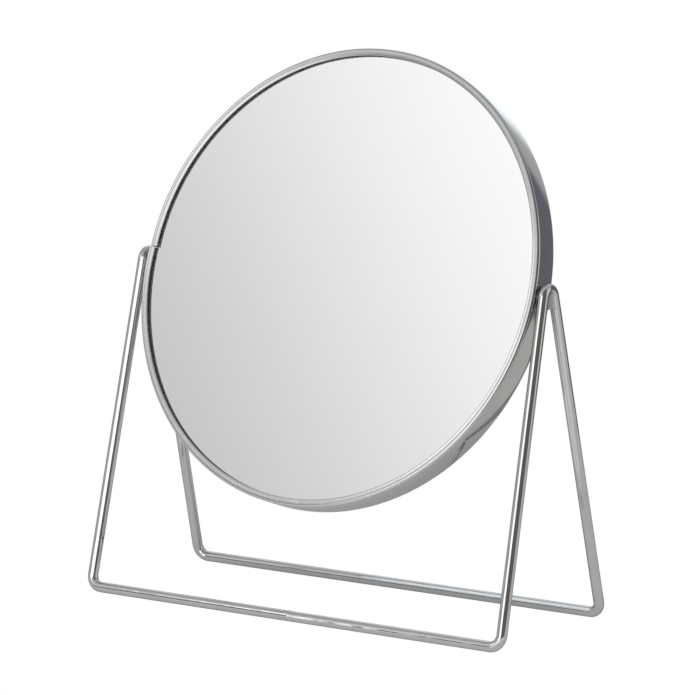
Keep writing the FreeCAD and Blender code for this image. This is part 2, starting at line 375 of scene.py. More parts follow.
@dataclass(frozen=True)
class RolledChrome(Metal):
    """Chromed strip with rolling marks round the rim, pin specks and short scuffs."""

    mark_per_metre: float = 5200.0
    mark_stretch: float = 12.0
    speck_per_metre: float = 900.0
    speck_limit: float = 0.34
    speck_dullness: float = 0.3
    speck_colour: Colour = (0.86, 0.86, 0.86)
    scuff_per_metre: float = 100.0
    scuff_start: float = 0.48
    scuff_full: float = 0.6
    low_start: float = -0.55
    low_full: float = -0.95
    lip_start: float = 5.0 * MM
    lip_full: float = 5.5 * MM
    lip_roughness: float = 0.13

    def surface(self, graph: Graph, place: bpy.types.NodeSocket) -> tuple[object, Term, Term]:
        """Adds marks that run round the rim and small bright scuffed specks on its lower half.

        Args:
            graph: the material's graph.
            place: coordinates to read.

        Returns:
            Colour socket, roughness term and height term.
        """
        colour, roughness, grain = super().surface(graph, place)
        x, depth, z = graph.axes(place)
        radius = (x * x + z * z) ** 0.5
        turn = z.math("ARCTAN2", x)
        stretch = self.mark_stretch
        along = graph.node(
            "ShaderNodeCombineXYZ", None, {"X": radius * stretch, "Y": depth * stretch, "Z": turn}
        )
        marks = graph.noise(along.outputs[0], self.mark_per_metre / stretch, 2.0)
        cells = graph.node(
            "ShaderNodeTexVoronoi", None, {"Vector": place, "Scale": self.speck_per_metre}
        )
        specks = Term(graph, cells.outputs["Distance"]).smooth_step(self.speck_limit, 0.0)
        scuffs = graph.noise(place, self.scuff_per_metre)
        scuffed = scuffs.smooth_step(self.scuff_start, self.scuff_full)
        dull = specks * scuffed * (z / radius).smooth_step(self.low_start, self.low_full)
        colour = graph.blend(dull, colour, self.speck_colour)
        lip = abs(depth).smooth_step(self.lip_start, self.lip_full)
        roughness = roughness + dull * self.speck_dullness + (marks - 0.5) * self.roughness_spread
        roughness = roughness + lip * self.lip_roughness
        return colour, roughness, grain * 0.5 + marks * 0.5 + dull


@dataclass(frozen=True)
class Matt(Finish):
    """Moulded, pressed or felted stuff."""

    sheen: float = 0.0

    def shader_settings(self) -> dict[str, object]:
        """Constant sockets of a matt surface."""
        return {"Metallic": 0.0, "Sheen Weight": self.sheen}


WIRE_CHROME = Metal(
    "drawn_wire_chrome", (0.60, 0.60, 0.61), (0.56, 0.56, 0.565), 0.04, 0.02, 700.0, 0.000004,
    ripple=40.0, edge_tint=(0.3, 0.3, 0.29),
)
WELD_CHROME = Metal(
    "brazed_chrome", (0.72, 0.72, 0.70), (0.60, 0.60, 0.58), 0.36, 0.08, 900.0, 0.000008
)
RIM_CHROME = RolledChrome(
    "rolled_rim_chrome", (0.53, 0.53, 0.535), (0.50, 0.50, 0.50), 0.05, 0.02, 900.0, 0.0000012
)
# Painted shade: a dark matt finish on the faces under the lips and inside the rim's channel, where shade
# falls
RIM_INSIDE_PAINTED_SHADE = Matt(
    "unplated_rim_inside", (0.33, 0.365, 0.385), (0.29, 0.32, 0.34), 0.7, 0.1, 900.0, 0.000002
)
SILVER = Metal("silvered_glass", (0.90, 0.905, 0.90), (0.895, 0.90, 0.897), 0.004, 0.003, 60.0, 0.0)
PLATED_STEEL = Metal(
    "nickel_plated_steel", (0.55, 0.54, 0.52), (0.48, 0.47, 0.455), 0.18, 0.06, 2500.0, 0.000005
)
SPRING_STEEL = Metal(
    "blued_spring_steel", (0.20, 0.20, 0.22), (0.13, 0.13, 0.16), 0.28, 0.08, 2500.0, 0.000005
)
NYLON = Matt("moulded_nylon", (0.72, 0.72, 0.70), (0.66, 0.66, 0.645), 0.42, 0.06, 3000.0, 0.000006)
FIBRE = Matt("pressed_fibre", (0.33, 0.12, 0.07), (0.24, 0.09, 0.055), 0.75, 0.08, 4000.0, 0.00002)
FELT = Matt("grey_felt", (0.20, 0.20, 0.21), (0.13, 0.13, 0.135), 0.95, 0.04, 5000.0, 0.00008, 0.4)
GREYBOARD = Matt(
    "grey_board", (0.38, 0.35, 0.30), (0.30, 0.275, 0.235), 0.88, 0.06, 2400.0, 0.00003
)


# Modelling


class Bench:
    """One new mesh, worked on in edit mode with the ordinary modelling operators."""

    def __init__(self, name: str) -> None:
        """Names the piece that is about to be made."""
        self.name = name
        self.piece: bpy.types.Object | None = None

    def begin(self) -> None:
        """Takes over the primitive that was just added and starts editing it."""
        self.piece = bpy.context.object
        self.piece.name = self.name
        self.piece.data.name = self.name
        bpy.ops.object.mode_set(mode="EDIT")
        bpy.ops.mesh.select_mode(type="VERT")
        bpy.ops.mesh.select_all(action="SELECT")

    def ring(
        self, centre: Vector, radius: float, direction: Vector, sides: int, filled: bool = False
    ) -> None:
        """Starts with a ring of points round a direction.

        Args:
            centre: middle of the ring.
            radius: its radius.
            direction: direction that it faces.
            sides: number of points.
            filled: whether it is closed by a face.
        """
        bpy.ops.object.select_all(action="DESELECT")
        bpy.ops.mesh.primitive_circle_add(
            vertices=sides, radius=radius, location=centre,
            rotation=direction.to_track_quat("Z", "Y").to_euler(),
            fill_type="NGON" if filled else "NOTHING",
        )
        self.begin()

    def sheet(self, centre: Vector, width: float, length: float) -> None:
        """Starts with a flat rectangle in the XY plane.

        Args:
            centre: its middle.
            width: its size along X.
            length: its size along Y.
        """
        bpy.ops.object.select_all(action="DESELECT")
        bpy.ops.mesh.primitive_plane_add(size=width, location=centre)
        self.begin()
        self.scale((1, length / width, 1), centre)

    def block(self, centre: Vector, size: Vector) -> None:
        """Starts with a box.

        Args:
            centre: its middle.
            size: its three sizes.
        """
        bpy.ops.object.select_all(action="DESELECT")
        bpy.ops.mesh.primitive_cube_add(size=1, location=centre)
        self.begin()
        self.scale(size, centre)

    def pull(self, move: Vector) -> None:
        """Extrudes what is selected along a move."""
        bpy.ops.mesh.extrude_region_move(TRANSFORM_OT_translate={"value": tuple(move)})

    def scale(self, factors: Sequence[float], centre: Vector) -> None:
        """Scales what is selected about a point."""
        bpy.ops.transform.resize(value=tuple(factors), center_override=tuple(centre))

    def turn(self, degrees: float, centre: Vector, axis: Vector, steps: int) -> None:
        """Extrudes what is selected round an axis.

        Args:
            degrees: right-handed turn about the axis; the operator itself turns the other way.
            centre: point on the axis.
            axis: its direction.
            steps: number of segments.
        """
        bpy.ops.mesh.spin(
            steps=steps, angle=-math.radians(degrees), center=tuple(centre), axis=tuple(axis)
        )

    def pick(self, kind: str, test: Callable[[object], bool]) -> None:
        """Selects only the points, edges or faces that pass a test.

        Args:
            kind: "verts", "edges" or "faces".
            test: says whether an element is wanted, in the mesh's own coordinates.
        """
        modes = {"verts": "VERT", "edges": "EDGE", "faces": "FACE"}
        bpy.ops.mesh.select_mode(type=modes[kind])
        bpy.ops.mesh.select_all(action="DESELECT")
        mesh = bmesh.from_edit_mesh(self.piece.data)
        for element in getattr(mesh, kind):
            if test(element):
                element.select_set(True)
        mesh.select_flush_mode()
        bmesh.update_edit_mesh(self.piece.data)

    def close(self) -> None:
        """Merges doubled points and turns every face outwards."""
        bpy.ops.mesh.select_mode(type="VERT")
        bpy.ops.mesh.select_all(action="SELECT")
        bpy.ops.mesh.remove_doubles(threshold=WELD_DISTANCE)
        bpy.ops.mesh.normals_make_consistent(inside=False)

    def settle(self, placement: Matrix | None = None) -> bpy.types.Object:
        """Leaves edit mode and puts the piece's place into its mesh.

        Args:
            placement: where the finished piece goes, if it was made somewhere else.

        Returns:
            The finished piece.
        """
        bpy.ops.object.mode_set(mode="OBJECT")
        if placement is not None:
            self.piece.matrix_world = placement @ self.piece.matrix_world
        bpy.ops.object.transform_apply(location=True, rotation=True, scale=True)
        bpy.ops.object.shade_smooth_by_angle(angle=SMOOTH_ANGLE)
        return self.piece


def lathe(name: str, outline: Sequence[tuple[float, float]], sides: int, hollow: bool) -> Bench:
    """Turns a part about the X axis, ring by ring.

    Args:
        name: piece name.
        outline: (place along X, radius) of each ring.
        sides: number of points round the part.
        hollow: whether the outline closes on itself round a bore.

    Returns:
        The bench with the part still in edit mode.
    """
    bench = Bench(name)
    x, radius = outline[0]
    bench.ring(Vector((x, 0, 0)), radius, X_AXIS, sides, filled=not hollow)
    for next_x, next_radius in list(outline[1:]) + ([outline[0]] if hollow else []):
        bench.pull(Vector((next_x - x, 0, 0)))
        factor = next_radius / radius
        bench.scale((1, factor, factor), Vector((next_x, 0, 0)))
        x, radius = next_x, next_radius
    bench.close()
    return bench


def hand_over(
    piece: bpy.types.Object, body: Body, slot: Slot, materials: Iterable[bpy.types.Material],
    *nodes: str,
) -> None:
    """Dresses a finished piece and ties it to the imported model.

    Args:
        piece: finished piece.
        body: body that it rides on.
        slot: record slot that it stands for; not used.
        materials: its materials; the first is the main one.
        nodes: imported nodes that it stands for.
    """
    for material in materials:
        piece.data.materials.append(material)
    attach(piece, body.value)
    if nodes:
        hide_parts(*nodes)
    log.info("%s: %d faces", piece.name, len(piece.data.polygons))


@dataclass(frozen=True)
class Layout:
    """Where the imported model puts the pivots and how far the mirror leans."""

    pivot: Vector
    lean: float
    rim_radius: float
    foot_half_depth: float

    @classmethod
    def read(cls, frame: dict) -> "Layout":
        """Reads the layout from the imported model.


        Returns:
            The layout.
        """
        pane = frame["nodes"]["front_glass"].data
        face = max(pane.polygons, key=lambda polygon: polygon.area).normal
        rim_low, rim_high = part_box("rim")
        return cls(
            pivot=Vector(frame["joints"][0]["pos_m"]),
            lean=math.atan2(abs(face.z), abs(face.y)),
            rim_radius=(rim_high.x - rim_low.x) / 2,
            foot_half_depth=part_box("stand_wire")[1].y - WireStand.wire_radius,
        )

    def mirror_place(self) -> Matrix:
        """Takes the upright mirror to its leaning place."""
        return Matrix.Translation(self.pivot) @ Matrix.Rotation(-self.lean, 4, "X")


@dataclass
class WireStand:
    """Closed loop of chromed wire: two bars, four legs and a tight crook round each stud."""

    layout: Layout
    wire_radius: float = 2.0 * MM
    foot_half_width: float = 93.3 * MM
    pivot_half_width: float = 91.0 * MM
    foot_bend: float = 4.5 * MM
    crook_bend: float = 3.55 * MM
    bead_reach: float = 1.1 * MM
    bead_height: float = 0.16 * MM
    sides: int = 40
    steps_per_half_turn: int = 56
    fewest_steps: int = 4
    braze_half_edge: float = 1.5 * MM
    braze_half_middle: float = 1.1 * MM
    braze_depth: float = 4.6 * MM
    braze_rise: float = 1.2 * MM
    braze_top: float = 2.4 * MM
    braze_steps: int = 4
    braze_rounding: int = 2
    bead_shape: Sequence[tuple[float, float]] = field(
        default=((0.0, 1.0), (0.35, 0.85), (0.7, 0.35), (1.0, 0.0))
    )

    def leg_slope(self) -> float:
        """Works out how far a leg leans.

        Returns:
            How far its centre line moves in Y for each metre of height.
        """
        height = self.layout.pivot.z - self.wire_radius
        to_pivot = math.atan(self.layout.foot_half_depth / height)
        beside = math.asin(self.crook_bend / math.hypot(self.layout.foot_half_depth, height))
        return math.tan(to_pivot - beside)

    def corners(self) -> list[tuple[Vector, float]]:
        """Works out the corners of the centre line.

        Returns:
            Corner points with their bend radii, from the front right foot.
        """
        depth = self.layout.foot_half_depth
        rise = depth / self.leg_slope()
        height = self.layout.pivot.z - self.wire_radius
        splay = (self.foot_half_width - self.pivot_half_width) / height
        top = Vector((self.foot_half_width - splay * rise, 0, self.wire_radius + rise))
        points = []
        for side in (1, -1):
            foot = Vector((side * self.foot_half_width, -side * depth, self.wire_radius))
            points.append((foot, self.foot_bend))
            points.append((Vector((side * top.x, 0, top.z)), self.crook_bend))
            points.append((foot * Vector((1, -1, 1)), self.foot_bend))
        return points

    def bend(self, bench: Bench, before: Vector, corner: Vector, after: Vector, radius: float) -> Vector:
        """Runs the wire up to a corner and round it.

        Args:
            bench: bench with the wire's end ring selected.
            before: where the wire is now.
            corner: corner of the centre line.
            after: next corner.
            radius: centre line radius of the bend.

        Returns:
            Where the wire is after the bend.
        """
        arriving = (corner - before).normalized()
        leaving = (after - corner).normalized()
        turn = arriving.angle(leaving)
        run = radius * math.tan(turn / 2)
        axis = arriving.cross(leaving).normalized()
        start = corner - arriving * run
        bench.pull(start - before)
        steps = max(self.fewest_steps, round(self.steps_per_half_turn * turn / math.pi))
        bench.turn(math.degrees(turn), start + axis.cross(arriving) * radius, axis, steps)
        return corner + leaving * run

    def swell(self, bench: Bench, x: float, share: float, from_share: float) -> None:
        """Scales the end ring to the weld bead's radius, with its lowest point kept on the table.

        Args:
            bench: bench with the wire's end ring selected.
            x: where the ring is along the front bar.
            share: how much of the bead's height the ring gets.
            from_share: how much of it the ring has now.
        """
        radius = self.wire_radius + self.bead_height * share / 2
        was = self.wire_radius + self.bead_height * from_share / 2
        foot = Vector((x, -self.layout.foot_half_depth, 0))
        bench.scale((1, radius / was, radius / was), foot)

    def make_wire(self) -> bpy.types.Object:
        """Bends the loop, from its butt weld in the front bar all the way round.

        Returns:
            The finished loop.
        """
        bench = Bench("bent_wire_loop")
        y = -self.layout.foot_half_depth
        swollen = self.wire_radius + self.bead_height / 2
        bench.ring(Vector((0, y, swollen)), swollen, X_AXIS, self.sides)
        shape = self.bead_shape
        for (from_x, from_share), (to_x, to_share) in zip(shape, shape[1:]):
            bench.pull(X_AXIS * (to_x - from_x) * self.bead_reach)
            self.swell(bench, to_x * self.bead_reach, to_share, from_share)
        here = Vector((self.bead_reach, y, self.wire_radius))
        corners = self.corners()
        for i, (corner, radius) in enumerate(corners):
            after = corners[(i + 1) % len(corners)][0]
            here = self.bend(bench, here, corner, after, radius)
        bench.pull(Vector((-self.bead_reach, y, self.wire_radius)) - here)
        back = shape[::-1]
        for (from_x, from_share), (to_x, to_share) in zip(back, back[1:]):
            bench.pull(X_AXIS * (from_x - to_x) * self.bead_reach)
            self.swell(bench, -to_x * self.bead_reach, to_share, from_share)
        bench.close()
        return bench.settle()

    def fill_half(self, height: float) -> float:
        """Works out how wide the brazing is between the wire's centre lines.

        Args:
            height: height over the pivot.

        Returns:
            Half the gap between the centre lines.
        """
        slope = self.leg_slope()
        legs = self.crook_bend * math.hypot(1, slope) - height * slope
        crook = math.sqrt(self.crook_bend**2 - max(height, 0) ** 2)
        return min(legs, crook)

    def make_braze(self, side: Side) -> bpy.types.Object:
        """Fills a crook round its stud with braze metal that sinks in between the wires.

        Args:
            side: which crook.

        Returns:
            The finished filler.
        """
        low = -self.braze_depth
        size = self.braze_top - low
        middle = (self.braze_top + low) / 2
        widest = self.fill_half(low)
        reach = side.value * self.pivot_half_width
        centre = Vector((reach, 0, self.layout.pivot.z + middle))
        bench = Bench(f"crook_braze_{side.word}")
        bench.block(centre, Vector((2 * self.braze_half_edge, 2 * widest, size)))
        bpy.ops.mesh.subdivide(number_cuts=self.braze_steps * 2 - 1)
        column = widest / self.braze_steps
        beside = column / 3
        for i in range(self.braze_steps + 1):
            share = (i / self.braze_steps) ** 2
            bench.pick("verts", lambda v: abs(abs(v.co.y) - i * column) < beside)
            thickness = self.braze_half_middle + (self.braze_half_edge - self.braze_half_middle) * share
            bench.scale((thickness / self.braze_half_edge, 1, 1), centre)
            bench.pick("verts", lambda v: v.co.z < low - middle + beside
                       and abs(abs(v.co.y) - i * column) < beside)
            bpy.ops.transform.translate(value=(0, 0, self.braze_rise * (1 - share)))
        row = size / (2 * self.braze_steps)
        for i in range(1, 2 * self.braze_steps + 1):
            height = low + i * row
            bench.pick("verts", lambda v: abs(v.co.z + middle - height) < row / 3)
            bench.scale((1, self.fill_half(height) / widest, 1), centre)
        bench.close()
        bpy.ops.object.mode_set(mode="OBJECT")
        rounding = bench.piece.modifiers.new("rounding", "SUBSURF")
        rounding.levels = self.braze_rounding
        rounding.render_levels = self.braze_rounding
        bpy.ops.object.modifier_apply(modifier=rounding.name)
        return bench.settle()

    def build(self) -> None:
        """Makes the loop and its brazing and hands them over."""
        chrome = WIRE_CHROME.material()
        hand_over(self.make_wire(), Body.STAND, Slot.STAND, [chrome], "stand_wire")
        brazed = WELD_CHROME.material()
        for side in Side:
            hand_over(self.make_braze(side), Body.STAND, Slot.STAND, [brazed])


@dataclass
class MirrorHead:
    """Rolled rim with its lap at the left pivot, and the two silvered panes."""

    layout: Layout
    half_depth: float = 5.7 * MM
    sheet: float = 0.6 * MM
    lip: float = 3.0 * MM
    rim_bend: float = 1.0 * MM
    lip_crown_radius: float = 7.0 * MM
    lip_lead: float = 3.5
    tip_round: float = 0.2 * MM
    lap_angle: float = 177.0
    end_angle: float = 150.0
    end_tighter: float = 6.4 * MM
    end_turn: float = 28.9
    full_turn_steps: int = 320
    bend_steps: int = 7
    crown_steps: int = 6
    tip_steps: int = 3
    lip_facing: float = 0.3
    web_facing: float = 0.5
    silver_recess: float = 1.06 * MM
    pane_radius: float = 86.3 * MM
    pane_back: float = 3.25 * MM
    rear_sheet: float = 0.7 * MM
    ground_edge: float = 0.3 * MM
    dish_radius: float = 1000.0 * MM
    dish_rings: int = 24
    pane_sides: int = 192

    def web_half(self) -> float:
        """Works out the flat part of the strip's web, between its two bends.

        Returns:
            Half its width.
        """
        bent = math.radians(90 - self.lip_lead)
        crown = self.lip_crown_radius * (1 - math.sin(bent))
        return self.half_depth - self.rim_bend * math.sin(bent) - crown

    def roll_lip(self, bench: Bench, side: int) -> None:
        """Rolls one edge of the strip in to its lip, slightly crowned, with a rounded tip.

        Args:
            bench: bench with the flat section, still at the right of the rim.
            side: 1 for the rear lip, -1 for the front lip.
        """
        edge_y = self.web_half() * side
        outer = self.layout.rim_radius
        bend_centre = Vector((outer - self.rim_bend, edge_y, 0))
        bend_turn = 90 - self.lip_lead
        turned = math.radians(bend_turn)
        toward = Vector((math.cos(turned), side * math.sin(turned), 0))
        crown_centre = bend_centre + toward * (self.rim_bend - self.lip_crown_radius)
        reach = (outer - self.lip - crown_centre.x) / self.lip_crown_radius
        crown_turn = math.degrees(math.acos(reach)) - bend_turn
        bench.pick("verts", lambda v: abs(v.co.y - edge_y) < WELD_DISTANCE)
        bench.turn(side * bend_turn, bend_centre, Z_AXIS, self.bend_steps)
        bench.turn(side * crown_turn, crown_centre, Z_AXIS, self.crown_steps)
        bpy.ops.mesh.bevel(affect="VERTICES", offset=self.tip_round, segments=self.tip_steps)

    def make_rim(self) -> bpy.types.Object:
        """Rolls the strip round the panes, from its outer end to the tongue of its inner end.

        Returns:
            The finished rim.
        """
        outer = self.layout.rim_radius
        bench = Bench("rolled_rim")
        bench.sheet(Vector((outer - self.sheet / 2, 0, 0)), self.sheet, 2 * self.web_half())
        self.roll_lip(bench, 1)
        self.roll_lip(bench, -1)
        self.turn_section(bench, self.lap_angle)
        bpy.ops.mesh.select_all(action="SELECT")
        full_turn = 360 - self.lap_angle + self.end_angle
        bench.turn(full_turn, Vector(), RIM_AXIS, round(self.full_turn_steps * full_turn / 360))
        end = math.radians(self.end_angle)
        shifted = Vector((math.cos(end), 0, math.sin(end))) * self.end_tighter
        bench.turn(self.end_turn, shifted, RIM_AXIS, round(self.full_turn_steps * self.end_turn / 360))
        bench.close()
        self.split_inside(bench)
        return bench.settle(self.layout.mirror_place())

    @staticmethod
    def turn_section(bench: Bench, degrees: float) -> None:
        """Turns the flat section round the rim's axis to where the strip starts.

        Args:
            bench: bench with the section.
            degrees: turn from the right-hand side.
        """
        bpy.ops.object.mode_set(mode="OBJECT")
        bpy.ops.object.transform_apply(location=True, rotation=True, scale=True)
        turn = Quaternion(RIM_AXIS, math.radians(degrees)).to_matrix().to_4x4()
        bench.piece.matrix_world = turn
        bpy.ops.object.transform_apply(location=True, rotation=True, scale=True)
        bpy.ops.object.mode_set(mode="EDIT")

    def split_inside(self, bench: Bench) -> None:
        """Gives the faces inside the channel the second material, a dark matt finish that is painted shade
        under the lips and in the channel.

        Args:
            bench: bench with the whole rim.
        """
        inside_depth = self.half_depth - self.sheet

        def faces_in(face: bmesh.types.BMFace) -> bool:
            """Tells the channel's inner faces, which get the painted shade, from its outer ones.

            Args:
                face: face of the rim, before the rim is leaned back.

            Returns:
                Whether it faces into the channel.
            """
            centre = face.calc_center_median()
            radial = Vector((centre.x, 0, centre.z)).normalized()
            under_lip = face.normal.y * math.copysign(1, centre.y) < -self.lip_facing
            web = face.normal.dot(radial) < -self.web_facing and abs(centre.y) < inside_depth
            return under_lip or web

        bench.pick("faces", faces_in)
        bench.piece.data.materials.append(RIM_CHROME.material(self.layout.pivot, -self.layout.lean))
        # second material is painted shade: dark matt under the lips and in the channel
        bench.piece.data.materials.append(RIM_INSIDE_PAINTED_SHADE.material())
        bench.piece.active_material_index = 1
        bpy.ops.object.material_slot_assign()

    def make_front_pane(self) -> bpy.types.Object:
        """Makes the plain pane: its silvering, with a ground edge.

        Returns:
            The finished pane.
        """
        face = -(self.half_depth - self.sheet - self.silver_recess)
        thickness = -self.pane_back - face
        bench = Bench("plain_silvered_pane")
        edge_radius = self.pane_radius - self.ground_edge
        bench.ring(Vector((0, face, 0)), edge_radius, Y_AXIS, self.pane_sides, filled=True)
        bench.pull(Y_AXIS * self.ground_edge)
        factor = self.pane_radius / edge_radius
        bench.scale((factor, 1, factor), Vector((0, face, 0)))
        bench.pull(Y_AXIS * (thickness - self.ground_edge))
        bench.close()
        return bench.settle(self.layout.mirror_place())

    def dish(self, radius: float) -> float:
        """How far the magnifying face lies outside its own centre at a radius."""
        return self.dish_radius - math.sqrt(self.dish_radius**2 - radius**2)

    def make_rear_pane(self) -> bpy.types.Object:
        """Makes the magnifying pane: its silvering, bent to a shallow hollow.

        Returns:
            The finished pane.
        """
        rim_y = self.half_depth - self.sheet - self.silver_recess
        bench = Bench("magnifying_silvered_pane")
        bench.ring(Vector((0, rim_y, 0)), self.pane_radius, -Y_AXIS, self.pane_sides)
        edge_depth = self.dish(self.pane_radius)
        radius = self.pane_radius
        for i in range(1, self.dish_rings):
            next_radius = self.pane_radius * (1 - i / self.dish_rings)
            bench.pull(Y_AXIS * (self.dish(next_radius) - self.dish(radius)))
            bench.scale((next_radius / radius, 1, next_radius / radius), Vector())
            radius = next_radius
        bpy.ops.mesh.edge_face_add()
        bench.pick("faces", lambda face: True)
        bpy.ops.mesh.extrude_region_move(TRANSFORM_OT_translate={"value": (0, -self.rear_sheet, 0)})
        bench.close()
        log.info("hollow of the magnifying pane: %.2f mm", edge_depth / MM)
        return bench.settle(self.layout.mirror_place())

    def build(self) -> None:
        """Makes the rim and the panes and hands them over."""
        hand_over(self.make_rim(), Body.MIRROR, Slot.RIM, [], "rim")
        silver = SILVER.material()
        hand_over(self.make_front_pane(), Body.MIRROR, Slot.PLAIN, [silver], "front_glass")
        hand_over(self.make_rear_pane(), Body.MIRROR, Slot.MAGNIFYING, [silver], "rear_glass")


@dataclass
class PivotSet:
    """The turned and moulded parts of one pivot that can be seen."""

    layout: Layout
    side: Side
    stud_radius: float = 1.5 * MM
    thread_radius: float = 1.25 * MM
    stud_edge: float = 0.2 * MM
    stud_chamfer: float = 0.3 * MM
    shank_inner: float = 85.95 * MM
    bore_clearance: float = 0.05 * MM
    flange_radius: float = 3.3 * MM
    flange_edge: float = 0.12 * MM
    flange_gap: float = 0.1 * MM
    barrel_radius: float = 2.3 * MM
    sides: int = 48

    def stud(self) -> bpy.types.Object:
        """Turns the stud: a threaded end and a plain shank that ends inside the brazing.

        Returns:
            The finished stud.
        """
        low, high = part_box(f"pivot_stud_{self.side.word}")
        inner, outer = sorted((abs(low.x), abs(high.x)))
        outline = [
            (inner, self.thread_radius - self.stud_chamfer),
            (inner + self.stud_chamfer, self.thread_radius),
            (self.shank_inner, self.thread_radius),
            (self.shank_inner, self.stud_radius),
            (outer - self.stud_edge, self.stud_radius),
            (outer, self.stud_radius - self.stud_edge),
        ]
        return self.turn_part(f"turned_stud_{self.side.word}", outline, hollow=False)

    def bush(self) -> bpy.types.Object:
        """Moulds the bush: a barrel in the rim's hole and a flange that spaces it from the wire.

        Returns:
            The finished bush.
        """
        low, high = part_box(f"pivot_bush_{self.side.word}")
        inner, outer = sorted((abs(low.x), abs(high.x)))
        flange_inner = self.layout.rim_radius + self.flange_gap
        bore = self.stud_radius + self.bore_clearance
        edge = self.flange_edge
        outline = [
            (inner, bore), (inner, self.barrel_radius), (flange_inner, self.barrel_radius),
            (flange_inner, self.flange_radius), (outer - edge, self.flange_radius),
            (outer, self.flange_radius - edge), (outer, bore),
        ]
        return self.turn_part(f"moulded_bush_{self.side.word}", outline, hollow=True)

    def turn_part(
        self, name: str, outline: Sequence[tuple[float, float]], hollow: bool
    ) -> bpy.types.Object:
        """Turns a part of this side at the pivot's height.

        Args:
            name: piece name.
            outline: (distance from the middle, radius) of each ring.
            hollow: whether the outline closes on itself round a bore.

        Returns:
            The finished part.
        """
        mirrored = [(self.side.value * x, radius) for x, radius in outline]
        bench = lathe(name, mirrored, self.sides, hollow)
        return bench.settle(Matrix.Translation(self.layout.pivot))

    def build(self) -> None:
        """Makes this side's stud and bush and hands them over."""
        word = self.side.word
        steel = PLATED_STEEL.material()
        nylon = NYLON.material()
        hand_over(self.stud(), Body.STAND, Slot.PLATED, [steel], f"pivot_stud_{word}")
        hand_over(self.bush(), Body.MIRROR, Slot.NYLON, [nylon], f"pivot_bush_{word}")


@dataclass
class InnerParts:
    """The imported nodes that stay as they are, hidden between the panes."""

    frame: dict
    finishes: dict[str, Finish] = field(
        default_factory=lambda: {
            "flat_washer": PLATED_STEEL, "disc_spring": SPRING_STEEL, "lock_nut": PLATED_STEEL,
            "friction_liner": FIBRE, "rim_doubler": PLATED_STEEL, "front_pad": FELT,
            "spacer_ring": FELT, "core_board": GREYBOARD,
        }
    )

    def build(self) -> None:
        """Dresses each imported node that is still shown."""
        for start, finish in self.finishes.items():
            material = finish.material()
            for name, node in self.frame["nodes"].items():
                if name.startswith(start):
                    self.dress(node, material)

    @staticmethod
    def dress(node: bpy.types.Object, material: bpy.types.Material) -> None:
        """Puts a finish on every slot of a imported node.

        Args:
            node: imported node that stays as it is.
            material: its finish.
        """
        if not node.material_slots:
            node.data.materials.append(material)
        for slot in node.material_slots:
            slot.material = material
        log.info("%s: dressed in %s", node.name, material.name)


@dataclass(frozen=True)
class Panel:
    """A soft-edged panel of light round the object, by direction from its middle."""

    azimuth: float
    elevation: float
    half_width: float
    half_height: float
    edge: float
    light: Colour

    def share(self, azimuth: Term, elevation: Term) -> Term:
        """How much of the panel a direction sees.

        Args:
            azimuth: direction's azimuth term, in degrees from the front towards the right.
            elevation: its elevation term, in degrees.

        Returns:
            The share, from 0 to 1.
        """
        off = abs(azimuth - self.azimuth)
        off = off.math("MINIMUM", 360 - off)
        across = off.smooth_step(self.half_width + self.edge, self.half_width - self.edge)
        up = abs(elevation - self.elevation)
        return across * up.smooth_step(self.half_height + self.edge, self.half_height - self.edge)

    def over(
        self, behind: object, azimuth: Term, elevation: Term
    ) -> bpy.types.NodeSocket:
        """Lays the panel over what is already there.

        Args:
            behind: light so far.
            azimuth: direction's azimuth term.
            elevation: direction's elevation term.

        Returns:
            The light with the panel in front.
        """
        return azimuth.graph.blend(self.share(azimuth, elevation), behind, self.light)


@dataclass(frozen=True)
class Spill:
    """Even rise of light on the wall beside the main panel, which the panes reflect."""

    azimuth: float = -38.1
    elevation: float = 24.2
    rise_across: float = 0.052
    rise_up: float = 0.062
    low: Colour = (0.56, 0.56, 0.56)
    high: Colour = (1.12, 1.12, 1.12)
    softness: float = 0.75
    window: Panel = Panel(-40.0, 25.0, 14.0, 12.0, 6.0, (1.0, 1.0, 1.0))

    def over(
        self, behind: object, azimuth: Term, elevation: Term
    ) -> bpy.types.NodeSocket:
        """Lays the rise over what is already there.

        Args:
            behind: light so far.
            azimuth: direction's azimuth term.
            elevation: direction's elevation term.

        Returns:
            The light with the rise in front.
        """
        across = (azimuth - self.azimuth) * self.rise_across
        rise = across + (elevation - self.elevation) * self.rise_up
        reach = (self.high[1] - self.low[1]) * self.softness
        graph = azimuth.graph
        level = graph.blend(rise.smooth_step(-reach, reach), self.low, self.high)
        return graph.blend(self.window.share(azimuth, elevation), behind, level)


@dataclass(frozen=True)
class Flag:
    """Dark board standing in front of the object, to the right, that ends a highlight softly."""

    left: float = 0.113
    right: float = 1.0
    distance: float = 0.262
    height: float = 0.7
    edge: float = 0.04
    light: Colour = (0.17, 0.157, 0.14)


